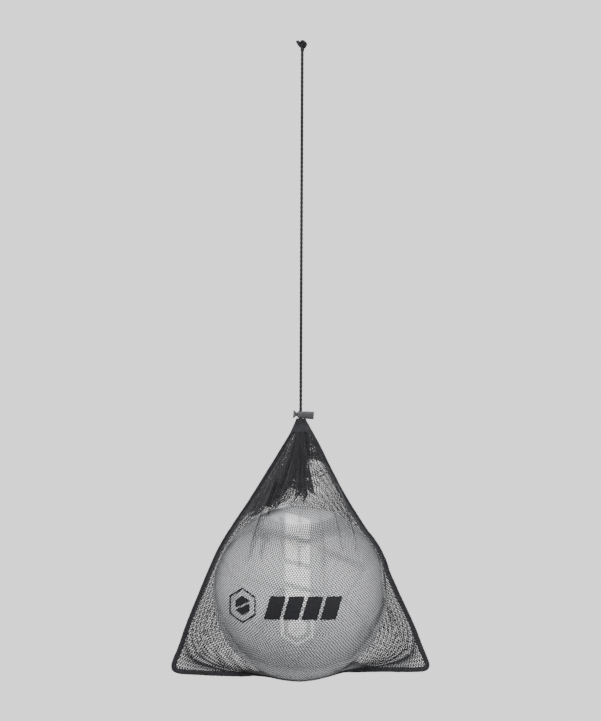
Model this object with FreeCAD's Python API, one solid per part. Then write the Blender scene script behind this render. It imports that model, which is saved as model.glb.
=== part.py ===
"""Mesh ball bag hanging on its drawcord, with a cord lock and one ball inside. Millimetres, +Z up.

The origin is the middle of the knot that the bag hangs from. +X runs along the bag's width and
-Y is its front. The bag is two knitted mesh panels sewn together round both sides and the bottom
with a folded edge binding. The top edge is a tunnel hem, gathered round the drawcord.
"""
import FreeCAD, Part
import math
import os

V = FreeCAD.Vector

# Drawcord: one braided cord, both ends run up side by side to one knot
CORD_D = 3.2
STRAND_Y = 1.7                     # each strand's offset from the hanging axis
KNOT_CENTRE = V(1.5, 0, 0)
KNOT_HALF = V(4.8, 5.2, 5.6)
SWING_Z = -7.5                     # the cord swings about this level, just under the knot
STRAND_BOTTOM_Z = -473.0
TAILS = {                          # start inside the knot, end, of each cut end of the cord
    "drawcord_tail_front": (V(-0.6, -1.9, -2.4), V(-5.4, -2.3, 4.0)),
    "drawcord_tail_rear": (V(-1.8, 1.5, -3.0), V(-6.6, 1.9, 2.6)),
}

# Ball of 218 mm: a laced casing over a thin bladder with one valve
BALL_R = 109.0
BALL_Z = -686.5
CASING_T = 2.4
BLADDER_T = 0.7
BALL_LAYER_GAP = 0.2
VALVE_R = 3.8
VALVE_TILT_DEG = 62.0              # from straight up, towards the back

# Mesh panels
MESH_T = 0.7
MESH_CLEARANCE = 0.9               # between the ball and a panel's inner face
PANEL_SPLIT = 0.15                 # each panel stands this far off the seam plane
ROWS = 27
COLUMNS = 37
ROW_SAMPLES = 160

# Seam line of the right half, from the mouth down the side, round the corner to the bottom's middle
SIDE_SEAM = [(10.6, -483.0), (24.0, -508.0), (57.8, -568.0), (96.6, -628.2), (123.2, -688.0),
             (144.5, -736.0), (154.6, -766.0), (155.6, -771.5), (153.3, -777.6)]
BOTTOM_SEAM = [(153.3, 0.0, -777.6), (147.0, 0.0, -780.4), (120.0, 0.0, -783.4), (90.0, 1.0, -785.4),
               (62.0, 5.0, -787.0), (40.0, 11.0, -790.6), (20.0, 15.0, -795.4), (0.0, 16.5, -797.0)]

# Edge binding
BINDING_W = 5.6
BINDING_T = 2.4
BINDING_BEVEL = 0.6
BINDING_START = 2.5                # along the seam, clear of the hem
BINDING_SPAN = 8                   # stations in each of its faces
FOLD_FROM_X = 85.0                 # the binding starts to turn flat under the ball here
FOLD_TO_X = 50.0

# Tunnel hem round the neck, as (radius, z) of its section, and the cord loop that runs inside it
HEM_SECTION = [(3.8, -469.2), (6.9, -469.2), (12.6, -482.8), (12.6, -484.2), (9.6, -484.2), (3.8, -478.5)]
LOOP_R = 6.9
LOOP_Z = -475.6
TUNNEL_CLEARANCE = 0.25

# Cord lock, in its own frame: +X along the barrel, origin on the cord's axis
LOCK_Z = -463.3
LOCK_TILT_DEG = 4.0
HUB_X = (-3.75, 3.4)
HUB_HALF = (6.5, 4.3)              # half depth, half height
HOUSING_X = (4.4, 16.6)
HOUSING_HALF = (6.9, 4.75)
WAIST_HALF = (6.2, 4.0)
CAVITY_END_X = 14.6
CAVITY_HALF = (5.3, 2.9)
PLUNGER_HALF = (5.0, 2.6)
PLUNGER_END_X = 6.0
PLUNGER_TRAVEL = 2.0
NECK_X = -5.6
NECK_HALF = (3.9, 2.4)
HEAD_X = (-9.4, -8.4)
HEAD_HALF = (6.0, 4.85)
SLOT_HALF_X = 2.3
SLOT_HALF_Y = 3.75
GROOVE_Z = -2.3
GROOVE_HALF = 0.75
GROOVE_DEPTH = 0.8
SPRING_R = 2.0
SPRING_WIRE = 0.5
SPRING_TURNS = 5


def save(name, shape):
    """Write one piece's STEP file after checking it is one closed solid."""
    if not shape.isValid() or len(shape.Solids) != 1:
        raise ValueError(f"{name}: valid {shape.isValid()}, solids {len(shape.Solids)}")
    shape.Solids[0].exportStep(f"parts/{name}.step")
    print(f"{name}: {shape.Volume / 1000:.3f} cm3")


# ---- drawcord ----

def ellipsoid(centre, half):
    shape = Part.makeSphere(1.0)
    stretch = FreeCAD.Matrix()
    stretch.scale(half.x, half.y, half.z)
    shape = shape.transformGeometry(stretch)
    shape.translate(centre)
    return Part.Solid(shape.Solids[0])


def round_ended_rod(start, end, radius):
    """A straight piece of cord with a melted, rounded end."""
    along = end - start
    rod = Part.makeCylinder(radius, along.Length, start, along)
    return rod.fuse(Part.makeSphere(radius, end)).removeSplitter()


def make_strand(y):
    radius = CORD_D / 2
    top = V(0, y, SWING_Z)
    length = SWING_Z - STRAND_BOTTOM_Z
    tube = Part.makeCylinder(radius, length, V(0, y, STRAND_BOTTOM_Z), V(0, 0, 1))
    print(f"strand at y {y}: one straight run of {length:.1f} mm, no arcs")
    return tube.fuse(Part.makeSphere(radius, top)).removeSplitter()


def make_drawcord():
    save("drawcord_knot", ellipsoid(KNOT_CENTRE, KNOT_HALF))
    for name, (start, end) in TAILS.items():
        save(name, round_ended_rod(start, end, CORD_D / 2))
    save("drawcord_strand_front", make_strand(-STRAND_Y))
    save("drawcord_strand_rear", make_strand(STRAND_Y))
    save("drawcord_loop", Part.makeTorus(LOOP_R, CORD_D / 2, V(0, 0, LOOP_Z)))
    print(f"drawcord_loop: one ring of radius {LOOP_R} mm")


# ---- mesh panels ----

def spline(points):
    curve = Part.BSplineCurve()
    curve.interpolate(Points=points)
    return curve


def spaced(curve, count):
    """Points at equal distances along a curve, both ends included."""
    step = curve.length() / (count - 1)
    first = curve.FirstParameter
    inner = [curve.value(curve.parameterAtDistance(i * step, first)) for i in range(1, count - 1)]
    return [curve.value(first)] + inner + [curve.value(curve.LastParameter)]


def mirrored_x(point):
    return V(-point.x, point.y, point.z)


def side_seam():
    return spline([V(x, 0, z) for x, z in SIDE_SEAM])


def bottom_seam():
    right = [V(*p) for p in BOTTOM_SEAM]
    return spline(right + [mirrored_x(p) for p in reversed(right[:-1])])


def off_ball(point, radius):
    """The point itself, or the nearest one at this distance from the ball's centre if it is closer."""
    centre = V(0, 0, BALL_Z)
    out = point - centre
    return point if out.Length >= radius else centre + out * (radius / out.Length)


def meridian(side, radius, top, bottom):
    """A panel's middle line: down the neck's cone, over the ball and under it to the seam.
    side is -1 for the front panel and 1 for the back one."""
    apex_gap = math.hypot(top.x, top.z - BALL_Z)
    tangent = math.atan2(top.x, top.z - BALL_Z) + math.acos(radius / apex_gap)
    end = math.atan2(side * bottom.y, bottom.z - BALL_Z) % (2 * math.pi)
    arc_steps = 60
    line = [V(0, side * top.x, top.z)]
    for i in range(arc_steps + 1):
        angle = tangent + (end - tangent) * i / arc_steps
        line.append(V(0, side * radius * math.sin(angle), BALL_Z + radius * math.cos(angle)))
    return line


def resample(points, count):
    """Equally spaced points along a polyline."""
    at = [0.0]
    for a, b in zip(points, points[1:]):
        at.append(at[-1] + (b - a).Length)
    result = []
    j = 0
    for i in range(count):
        want = at[-1] * i / (count - 1)
        while j < len(points) - 2 and at[j + 1] < want:
            j += 1
        span = at[j + 1] - at[j]
        share = (want - at[j]) / span if span else 0.0
        result.append(points[j] + (points[j + 1] - points[j]) * share)
    return result


def smooth(value):
    value = min(1.0, max(0.0, value))
    return value * value * (3 - 2 * value)


def panel_row(t, edge, middle, low_row, radius):
    """One row of a panel, from its left seam point over the middle to its right seam point."""
    power = 2.0 - 0.65 * smooth(t)
    settle = smooth((t - 0.8) / 0.2)
    across = V(edge.x, 0, 0)
    centre = V(0, 0, edge.z)
    out = middle - centre
    fine = []
    for k in range(ROW_SAMPLES + 1):
        angle = math.pi * k / ROW_SAMPLES
        c = math.cos(angle)
        x = -math.copysign(abs(c) ** (2 / power), c)
        fine.append(centre + across * x + out * math.sin(angle) ** (2 / power))
    row = []
    for high, low in zip(resample(fine, COLUMNS), low_row):
        share = low.x / low_row[-1].x
        low = V(share * edge.x, low.y, low.z + (edge.z - low_row[-1].z) * share ** 2)
        row.append(off_ball(high * (1 - settle) + low * settle, radius))
    return row


def panel_grid(side):
    """Rows of points on the inner face of one panel."""
    radius = BALL_R + MESH_CLEARANCE
    edges = spaced(side_seam(), ROWS)
    low_row = [mirrored_x(p) for p in spaced(bottom_seam(), COLUMNS)]
    middles = resample(meridian(side, radius, edges[0], V(*BOTTOM_SEAM[-1])), ROWS)
    rows = []
    for i in range(ROWS):
        row = panel_row(i / (ROWS - 1), edges[i], middles[i], low_row, radius)
        rows.append([p + V(0, side * PANEL_SPLIT, 0) for p in row])
    return rows


def lifted(grid, side, thickness):
    """The grid moved out along its own normals."""
    last_i, last_j = len(grid) - 1, len(grid[0]) - 1
    result = []
    for i, row in enumerate(grid):
        new_row = []
        for j, point in enumerate(row):
            down = grid[min(i + 1, last_i)][j] - grid[max(i - 1, 0)][j]
            right = row[min(j + 1, last_j)] - row[max(j - 1, 0)]
            normal = right.cross(down) * side
            new_row.append(point + normal * (thickness / normal.Length))
        result.append(new_row)
    return result


def grid_face(grid):
    surface = Part.BSplineSurface()
    surface.interpolate(grid)
    return surface.toShape()


def edge_near(face, start, end):
    """The face's boundary edge that joins two of its corners."""
    def miss(edge):
        ends = [v.Point for v in edge.Vertexes]
        return min((ends[0] - start).Length + (ends[-1] - end).Length,
                   (ends[0] - end).Length + (ends[-1] - start).Length)
    return min(face.Edges, key=miss)


def closed_solid(faces):
    shell = Part.Shell(faces)
    shell.sewShape()
    solid = Part.Solid(Part.Shell(shell.Faces))
    if solid.Volume < 0:
        solid.reverse()
    return solid


def make_panel(side):
    inner = panel_grid(side)
    outer = lifted(inner, side, MESH_T)
    skins = [grid_face(inner), grid_face(outer)]
    corners = [[g[0][0], g[0][-1], g[-1][-1], g[-1][0]] for g in (inner, outer)]
    faces = list(skins)
    for k in range(4):
        pair = [edge_near(skin, c[k], c[(k + 1) % 4]) for skin, c in zip(skins, corners)]
        faces.append(Part.makeRuledSurface(pair[0], pair[1]))
    return closed_solid(faces)


# ---- edge binding ----

def binding_section():
    """Half width along the seam's outward side, half thickness across it, with bevelled corners."""
    w, t, b = BINDING_W / 2, BINDING_T / 2, BINDING_BEVEL
    return [(w, t - b), (w - b, t), (b - w, t), (-w, t - b),
            (-w, b - t), (b - w, -t), (w - b, -t), (w, b - t)]


def seam_stations():
    """Points and directions along the whole seam, closer together round the corners."""
    side = side_seam()
    bottom = bottom_seam()
    corner = 26.0
    stations = []
    for curve, start, stop, steps in (
            (side, BINDING_START, side.length() - corner, 26),
            (side, side.length() - corner, side.length(), 10),
            (bottom, 0.0, corner, 10),
            (bottom, corner, bottom.length() / 2, 18)):
        for i in range(steps):
            at = curve.parameterAtDistance(start + (stop - start) * i / steps, curve.FirstParameter)
            stations.append((curve.value(at), V(*curve.tangent(at)[0])))
    middle = bottom.parameterAtDistance(bottom.length() / 2, bottom.FirstParameter)
    left = [(mirrored_x(p), V(t.x, -t.y, -t.z)) for p, t in reversed(stations)]
    return stations + [(bottom.value(middle), V(-1, 0, 0))] + left


def binding_ring(point, along):
    """The binding's section at one station. Under the ball the free edge lies flat, towards the back."""
    out = point - V(0, 0, BALL_Z)
    out = (out - along * out.dot(along)).normalize()
    flat = along.cross(out)
    if flat.y < 0:
        flat = flat * -1
    on_bottom = point.z < SIDE_SEAM[-1][1]
    fold = smooth((FOLD_FROM_X - abs(point.x)) / (FOLD_FROM_X - FOLD_TO_X)) if on_bottom else 0.0
    turn = fold * math.pi / 2
    wide = out * math.cos(turn) + flat * math.sin(turn)
    thick = flat * math.cos(turn) - out * math.sin(turn)
    return [point + wide * a + thick * b for a, b in binding_section()]


def part_of(curve, start, stop):
    piece = curve.copy()
    piece.segment(start, stop)
    return piece


def strip_between(first, second):
    """The straight-ruled face between two curves that share their knots."""
    surface = Part.BSplineSurface()
    surface.buildFromPolesMultsKnots([first.getPoles(), second.getPoles()],
                                     [2, 2], first.getMultiplicities(),
                                     [0.0, 1.0], first.getKnots(), False, False, 1, first.Degree)
    return surface.toShape()


def make_binding():
    rings = [binding_ring(p, t) for p, t in seam_stations()]
    at = [0.0]
    for a, b in zip(rings, rings[1:]):
        at.append(at[-1] + ((b[0] - a[0]) + (b[4] - a[4])).Length / 2)
    curves = []
    for j in range(len(rings[0])):
        curve = Part.BSplineCurve()
        curve.interpolate(Points=[ring[j] for ring in rings], Parameters=at)
        curves.append(curve)
    faces = []
    for start in range(0, len(at) - 1, BINDING_SPAN):
        stop = min(start + BINDING_SPAN, len(at) - 1)
        parts = [part_of(curve, at[start], at[stop]) for curve in curves]
        faces += [strip_between(parts[j - 1], parts[j]) for j in range(len(parts))]
    for ring in (rings[0], rings[-1]):
        faces.append(Part.Face(Part.makePolygon(ring + [ring[0]])))
    print(f"edge_binding: {at[-1]:.0f} mm along the seam")
    return closed_solid(faces)


def turned(section, z=0.0):
    """A ring turned about the hanging axis from its (radius, z) section."""
    points = [V(r, 0, h + z) for r, h in section]
    return Part.Face(Part.makePolygon(points + [points[0]])).revolve(V(0, 0, 0), V(0, 0, 1), 360)


def make_hem():
    tunnel = Part.makeTorus(LOOP_R, CORD_D / 2 + TUNNEL_CLEARANCE, V(0, 0, LOOP_Z))
    return turned(HEM_SECTION).cut(tunnel)


def make_bag():
    save("front_mesh_panel", make_panel(-1))
    save("back_mesh_panel", make_panel(1))
    save("edge_binding", make_binding())
    save("mouth_hem", make_hem())


# ---- cord lock ----

def bar(x, half, fillet):
    """A bar along X with rounded long edges."""
    box = Part.makeBox(x[1] - x[0], 2 * half[0], 2 * half[1], V(x[0], -half[0], -half[1]))
    length = x[1] - x[0]
    long_edges = [e for e in box.Edges if abs(e.Length - length) < 1e-6 and abs(e.tangentAt(0).x) > 0.9]
    return box.makeFillet(fillet, long_edges)


def cord_slot(x_from, x_to):
    """The upright slot that both strands pass through."""
    height = 4 * HOUSING_HALF[1]
    box = Part.makeBox(x_to - x_from, 2 * SLOT_HALF_Y, height, V(x_from, -SLOT_HALF_Y, -height / 2))
    upright = [e for e in box.Edges if abs(e.tangentAt(0).z) > 0.9]
    return box.makeFillet(1.5, upright)


def placed_lock(shape):
    shape = shape.copy()
    shape.rotate(V(0, 0, 0), V(0, 1, 0), LOCK_TILT_DEG)
    shape.translate(V(0, 0, LOCK_Z))
    return shape


def make_barrel():
    hub = bar(HUB_X, HUB_HALF, 2.6)
    left_rim = [e for e in hub.Edges if abs(e.BoundBox.XMax - HUB_X[0]) < 1e-6]
    hub = hub.makeFillet(1.0, left_rim)
    waist = bar((HUB_X[1] - 0.5, HOUSING_X[0] + 0.5), WAIST_HALF, 2.4)
    housing = bar(HOUSING_X, HOUSING_HALF, 2.6)
    right_rim = [e for e in housing.Edges if abs(e.BoundBox.XMin - HOUSING_X[1]) < 1e-6]
    housing = housing.makeFillet(0.5, right_rim)
    barrel = hub.fuse([waist, housing])
    cavity = bar((HUB_X[0] - 1, CAVITY_END_X), CAVITY_HALF, 0.8)
    barrel = barrel.cut([cavity, cord_slot(-SLOT_HALF_X, SLOT_HALF_X)])
    for side in (-1, 1):
        y_low = min(side * HOUSING_HALF[0], side * (HOUSING_HALF[0] - GROOVE_DEPTH))
        groove = Part.makeBox(HOUSING_X[1] - HOUSING_X[0] - 2.4, GROOVE_DEPTH, 2 * GROOVE_HALF,
                              V(HOUSING_X[0] + 1.2, y_low, GROOVE_Z - GROOVE_HALF))
        barrel = barrel.cut(groove)
    return placed_lock(barrel.removeSplitter())


def oval_wire(x, half):
    """A rounded rectangle across X."""
    corner = 0.55 * min(half)
    flat = Part.makeBox(1.0, 2 * half[0], 2 * half[1], V(x, -half[0], -half[1]))
    flat = flat.makeFillet(corner, [e for e in flat.Edges if abs(e.tangentAt(0).x) > 0.9])
    face = min(flat.Faces, key=lambda f: f.CenterOfMass.x)
    return face.OuterWire


def make_plunger():
    stem = bar((NECK_X, PLUNGER_END_X), NECK_HALF, 0.8)
    body = bar((HUB_X[0] + 0.2 - PLUNGER_TRAVEL / 2, PLUNGER_END_X), PLUNGER_HALF, 0.7)
    rim = oval_wire(HEAD_X[1], HEAD_HALF)
    flare = Part.makeLoft([rim, oval_wire(NECK_X + 0.01, NECK_HALF)], True, True)
    plate = Part.makeLoft([oval_wire(HEAD_X[0], HEAD_HALF), rim], True, True)
    plunger = plate.fuse([flare, stem, body])
    slot = cord_slot(-SLOT_HALF_X - PLUNGER_TRAVEL, SLOT_HALF_X)
    return placed_lock(plunger.cut(slot).removeSplitter())


def make_spring():
    gap = 0.05
    start, end = PLUNGER_END_X + SPRING_WIRE / 2 + gap, CAVITY_END_X - SPRING_WIRE / 2 - gap
    length = end - start
    helix = Part.makeHelix(length / SPRING_TURNS, length, SPRING_R)
    wire_circle = Part.Wire(Part.makeCircle(SPRING_WIRE / 2, V(SPRING_R, 0, 0), V(0, 1, 0)))
    coil = Part.Wire(helix.Edges).makePipeShell([wire_circle], True, True)
    coil.rotate(V(0, 0, 0), V(0, 1, 0), 90)
    coil.translate(V(start, 0, 0))
    return placed_lock(coil)


def make_cord_lock():
    save("cord_lock_barrel", make_barrel())
    save("cord_lock_plunger", make_plunger())
    save("cord_lock_spring", make_spring())


# ---- ball ----

def hollow_sphere(outer, thickness):
    return Part.makeSphere(outer).cut(Part.makeSphere(outer - thickness))


def placed_ball(shape):
    """Turn the valve, made straight up, towards the back and move the piece to the ball's place."""
    shape = shape.copy()
    shape.rotate(V(0, 0, 0), V(1, 0, 0), -VALVE_TILT_DEG)
    shape.translate(V(0, 0, BALL_Z))
    return shape


def make_ball():
    bladder_r = BALL_R - CASING_T - BALL_LAYER_GAP
    bladder_in = bladder_r - BLADDER_T
    valve_top = BALL_R - 0.4
    needle_r = 0.8
    hole = Part.makeCylinder(VALVE_R + BALL_LAYER_GAP, 2 * CASING_T, V(0, 0, BALL_R - 1.6 * CASING_T))
    save("ball_casing", placed_ball(hollow_sphere(BALL_R, CASING_T).cut(hole)))
    seat = Part.makeCylinder(VALVE_R, 6 * BLADDER_T, V(0, 0, bladder_in - 2 * BLADDER_T))
    save("ball_bladder", placed_ball(hollow_sphere(bladder_r, BLADDER_T).cut(seat)))
    valve = Part.makeCylinder(VALVE_R, valve_top - bladder_in + 2.0, V(0, 0, bladder_in - 2.0))
    needle = Part.makeCylinder(needle_r, 20.0, V(0, 0, bladder_in - 5.0))
    save("ball_valve", placed_ball(valve.cut(needle)))


os.makedirs("parts", exist_ok=True)
make_drawcord()
make_bag()
make_cord_lock()
make_ball()
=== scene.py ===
"""Mesh ball bag hanging by its drawcord knot, with a ball inside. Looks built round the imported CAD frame."""
import math

import bmesh
import bpy
import numpy as np
from mathutils import Matrix, Vector


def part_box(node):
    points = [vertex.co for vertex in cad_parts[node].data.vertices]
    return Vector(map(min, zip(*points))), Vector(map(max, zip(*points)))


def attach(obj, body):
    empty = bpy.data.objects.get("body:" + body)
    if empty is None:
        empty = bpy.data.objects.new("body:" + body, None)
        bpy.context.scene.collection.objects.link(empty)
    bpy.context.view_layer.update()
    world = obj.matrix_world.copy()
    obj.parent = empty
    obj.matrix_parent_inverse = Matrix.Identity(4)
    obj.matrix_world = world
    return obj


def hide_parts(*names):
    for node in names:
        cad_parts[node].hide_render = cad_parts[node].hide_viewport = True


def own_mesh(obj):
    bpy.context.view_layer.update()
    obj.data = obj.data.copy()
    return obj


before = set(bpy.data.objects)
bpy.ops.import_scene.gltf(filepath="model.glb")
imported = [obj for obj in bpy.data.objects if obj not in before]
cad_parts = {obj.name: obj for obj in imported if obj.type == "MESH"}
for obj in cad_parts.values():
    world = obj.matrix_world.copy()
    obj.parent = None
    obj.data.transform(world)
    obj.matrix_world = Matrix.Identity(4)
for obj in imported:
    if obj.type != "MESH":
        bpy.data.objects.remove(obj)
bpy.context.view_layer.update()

MM = 0.001
RNG = np.random.default_rng(7)

# ---- sizes that follow the frame ----
BALL_LOW, BALL_HIGH = (np.array(corner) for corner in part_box("ball_casing"))
BALL_C = (BALL_LOW + BALL_HIGH) / 2
BALL_R = float((BALL_HIGH - BALL_LOW)[2]) / 2

# ---- drawcord ----
CORD_D = 3.2 * MM
STRAND_Y = 1.7 * MM
STRAND_Z = (-473.0, -444.0, -26.0, -7.5)       # mouth, above the lock, below the knot, knot
STRAND_X = 0.30 * MM                           # how far each strand lies to its own side of the axis
BRAID_PITCH = 5.6 * MM
BRAID_CARRIERS = 8
KNOT_TURN_R = 1.6                               # radii in the knot, in mm
KNOT_NECK_R = 1.62
KNOT_RUN_R = {"tail_front": 1.8, "tail_rear": 1.8, "core": 2.3}

# ---- net ----
NET_COLUMNS = 96
NET_ROWS = 190
YARN_W = 1.05 * MM
YARN_T = 0.46 * MM
NET_BANDS = 4
FLAT_W, FLAT_H = 0.345, 0.440
GRID_U, GRID_V = 421, 221
FINE_U = 1121
NET_GAP = 0.45 * MM                              # the net's middle surface above the ball
PLEATS = 15
# How far below the neck the pleats run out, in mm, at fractions of the panel's width from the left
PLEAT_RUNS = [(0.0, 128), (0.16, 124), (0.25, 119), (0.30, 110), (0.32, 98), (0.345, 82), (0.40, 76),
              (0.42, 106), (0.44, 98), (0.465, 80), (0.50, 114), (0.535, 82), (0.575, 110), (0.61, 76),
              (0.65, 110), (0.685, 66), (0.74, 52), (0.85, 46), (0.93, 52), (1.0, 60)]
# Deep valleys between the bunches of pleats at the neck, at fractions of the width
VALLEYS = (0.10, 0.21, 0.31, 0.405, 0.49, 0.575, 0.665, 0.76, 0.88)

# Seam line seen from the front, x and z in mm, from the neck down each side to the corner
LEFT_SIDE = [(-5.0, -470.5), (-13.0, -491.0), (-23.0, -508.8), (-41.5, -539.0), (-60.0, -569.0),
             (-79.8, -599.0), (-98.3, -629.0), (-112.0, -659.0), (-124.3, -689.0), (-139.2, -726.5),
             (-149.8, -757.0), (-155.2, -770.0), (-157.6, -778.0), (-157.0, -782.0)]
RIGHT_SIDE = [(6.0, -470.5), (16.0, -491.0), (24.8, -508.8), (39.8, -539.0), (56.2, -569.0),
              (75.2, -599.0), (94.5, -628.5), (109.2, -659.0), (122.7, -689.0), (140.5, -726.5),
              (152.4, -757.0), (157.2, -768.0), (159.6, -775.5), (158.8, -779.0)]
# Seam line along the bottom, x, y and z in mm, from the left corner to the right one. It passes behind the
# ball's lowest point.
BOTTOM = [(-157.0, 0, -782.0), (-154.0, 0, -784.0), (-146.0, 0, -785.4), (-133.0, 0, -786.2),
          (-103.0, 0, -787.4), (-64.0, 3, -788.8), (-42.0, 11, -790.8),
          (-20.0, 16, -795.4), (0.0, 18, -797.2),
          (22.0, 16, -794.4), (43.0, 10, -787.8), (62.0, 3, -783.4), (95.0, 0, -781.6),
          (130.0, 0, -781.6), (150.0, 0, -781.2), (156.0, 0, -780.4), (158.8, 0, -779.0)]
BINDING_W = 6.2 * MM
BINDING_T = 2.8 * MM

# Pinched folds of the front panel that stand proud: x, z in mm along the fold, then its half width and height
# at each point, in mm
FOLDS = [
    [(-30, -545, 2.0, 4.0), (-39, -570, 2.8, 8.0), (-48, -594, 2.8, 9.0), (-57, -618, 1.8, 6.0),
     (-64, -642, 1.0, 1.5)],
    [(45, -552, 1.8, 6.0), (51, -569, 2.2, 9.0), (59, -592, 1.9, 8.0), (66, -612, 1.0, 4.0),
     (70, -630, 0.8, 1.2)],
    [(39, -575, 0.9, 2.5), (46, -601, 1.0, 3.6), (53, -628, 0.9, 1.2)],
    [(23.5, -580, 0.8, 2.2), (27.5, -612, 0.9, 3.0), (31, -648, 0.7, 0.8)],
    [(-0.6, -579, 0.8, 2.4), (-1.0, -612, 0.9, 3.0), (-1.2, -652, 0.7, 0.8)],
    [(-23, -590, 0.8, 1.5), (-22.5, -610, 0.9, 2.6), (-21, -632, 0.7, 0.8)],
    [(-44, -604, 0.8, 1.5), (-46, -624, 0.9, 2.6), (-48, -642, 0.7, 0.8)],
    [(-110, -702, 0.9, 1.5), (-113, -716, 1.5, 8.0), (-117, -732, 1.7, 10.0), (-121, -745, 1.7, 8.5),
     (-126, -757, 1.6, 4.5), (-132, -768, 1.2, 1.0)],
    [(101, -636, 0.8, 1.5), (105, -680, 1.1, 5.5), (110, -700, 1.4, 8.0), (119, -726, 1.8, 9.5),
     (128, -746, 2.1, 8.0), (141, -765, 1.6, 1.5)],
]


# ============================== small helpers ==============================

def smooth(value):
    value = np.clip(value, 0.0, 1.0)
    return value * value * (3 - 2 * value)


def unit(v):
    return v / np.maximum(np.linalg.norm(v, axis=-1, keepdims=True), 1e-12)


def link(obj):
    bpy.context.scene.collection.objects.link(obj)
    return obj


def mesh_object(name, points, faces, smooth_shade=True, uv=None):
    """A mesh from an (n, 3) array and faces given as an array of quads, or as a list of lists."""
    mesh = bpy.data.meshes.new(name)
    if isinstance(faces, np.ndarray):
        count, size = faces.shape
        mesh.vertices.add(len(points))
        mesh.vertices.foreach_set("co", np.ascontiguousarray(points, dtype=np.float32).ravel())
        mesh.loops.add(count * size)
        mesh.loops.foreach_set("vertex_index", faces.astype(np.int32).ravel())
        mesh.polygons.add(count)
        mesh.polygons.foreach_set("loop_start", np.arange(0, count * size, size, dtype=np.int32))
        mesh.update(calc_edges=True)
    else:
        mesh.from_pydata([tuple(p) for p in points], [], faces)
        mesh.update()
    mesh.validate()
    if uv is not None:
        corner = np.zeros(len(mesh.loops), dtype=np.int32)
        mesh.loops.foreach_get("vertex_index", corner)
        mesh.uv_layers.new(name="OFBake").data.foreach_set("uv", uv[corner].astype(np.float32).ravel())
    if smooth_shade:
        mesh.polygons.foreach_set("use_smooth", np.ones(len(mesh.polygons), dtype=bool))
    return link(bpy.data.objects.new(name, mesh))


def tube_faces(rings, around, closed=False):
    """Quads of a tube whose rings follow each other in the point list."""
    i = np.arange(rings if closed else rings - 1)[:, None]
    j = np.arange(around)[None, :]
    a = i * around + j
    b = i * around + (j + 1) % around
    after = ((i + 1) % rings) * around
    return np.stack([a, b, after + (j + 1) % around, after + j], axis=-1).reshape(-1, 4)


def spline_points(points, count):
    """Equally spaced points on a smooth curve through the given ones (centripetal Catmull-Rom)."""
    pts = np.array(points, float)
    pts = np.vstack([2 * pts[0] - pts[1], pts, 2 * pts[-1] - pts[-2]])
    fine = []
    for k in range(1, len(pts) - 2):
        p0, p1, p2, p3 = pts[k - 1:k + 3]
        t0 = 0.0
        t1 = t0 + max(np.linalg.norm(p1 - p0), 1e-9) ** 0.5
        t2 = t1 + max(np.linalg.norm(p2 - p1), 1e-9) ** 0.5
        t3 = t2 + max(np.linalg.norm(p3 - p2), 1e-9) ** 0.5
        t = np.linspace(t1, t2, 24, endpoint=False)[:, None]
        a1 = (t1 - t) / (t1 - t0) * p0 + (t - t0) / (t1 - t0) * p1
        a2 = (t2 - t) / (t2 - t1) * p1 + (t - t1) / (t2 - t1) * p2
        a3 = (t3 - t) / (t3 - t2) * p2 + (t - t2) / (t3 - t2) * p3
        b1 = (t2 - t) / (t2 - t0) * a1 + (t - t0) / (t2 - t0) * a2
        b2 = (t3 - t) / (t3 - t1) * a2 + (t - t1) / (t3 - t1) * a3
        fine.append((t2 - t) / (t2 - t1) * b1 + (t - t1) / (t2 - t1) * b2)
    fine.append(pts[-2][None, :])
    return resampled(np.vstack(fine), count)


def resampled(line, count):
    at = np.concatenate([[0.0], np.cumsum(np.linalg.norm(np.diff(line, axis=0), axis=1))])
    want = np.linspace(0.0, at[-1], count)
    return np.stack([np.interp(want, at, line[:, k]) for k in range(line.shape[1])], axis=1)


def off_ball(points, radius):
    out = points - BALL_C
    far = np.linalg.norm(out, axis=-1, keepdims=True)
    return np.where(far < radius, BALL_C + out * (radius / np.maximum(far, 1e-9)), points)


# ============================== materials ==============================

def new_material(name, base, roughness, metallic=0.0):
    mat = bpy.data.materials.new(name)
    mat.use_nodes = True
    shader = mat.node_tree.nodes["Principled BSDF"]
    shader.inputs["Base Color"].default_value = (*base, 1.0)
    shader.inputs["Roughness"].default_value = roughness
    shader.inputs["Metallic"].default_value = metallic
    return mat, mat.node_tree.nodes, mat.node_tree.links, shader


def noise_colour(nodes, links, shader, low, high, scale, detail=4.0):
    """Base colour that drifts between two tones."""
    where = nodes.new("ShaderNodeTexCoord")
    noise = nodes.new("ShaderNodeTexNoise")
    noise.inputs["Scale"].default_value = scale
    noise.inputs["Detail"].default_value = detail
    ramp = nodes.new("ShaderNodeValToRGB")
    ramp.color_ramp.elements[0].position = 0.35
    ramp.color_ramp.elements[0].color = (*low, 1.0)
    ramp.color_ramp.elements[1].position = 0.65
    ramp.color_ramp.elements[1].color = (*high, 1.0)
    links.new(where.outputs["Object"], noise.inputs["Vector"])
    links.new(noise.outputs["Fac"], ramp.inputs["Fac"])
    links.new(ramp.outputs["Color"], shader.inputs["Base Color"])
    return where, noise


def noise_bump(nodes, links, shader, where, scale, strength, distance):
    noise = nodes.new("ShaderNodeTexNoise")
    noise.inputs["Scale"].default_value = scale
    noise.inputs["Detail"].default_value = 6.0
    bump = nodes.new("ShaderNodeBump")
    bump.inputs["Strength"].default_value = strength
    bump.inputs["Distance"].default_value = distance
    links.new(where.outputs["Object"], noise.inputs["Vector"])
    links.new(noise.outputs["Fac"], bump.inputs["Height"])
    links.new(bump.outputs["Normal"], shader.inputs["Normal"])


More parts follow.
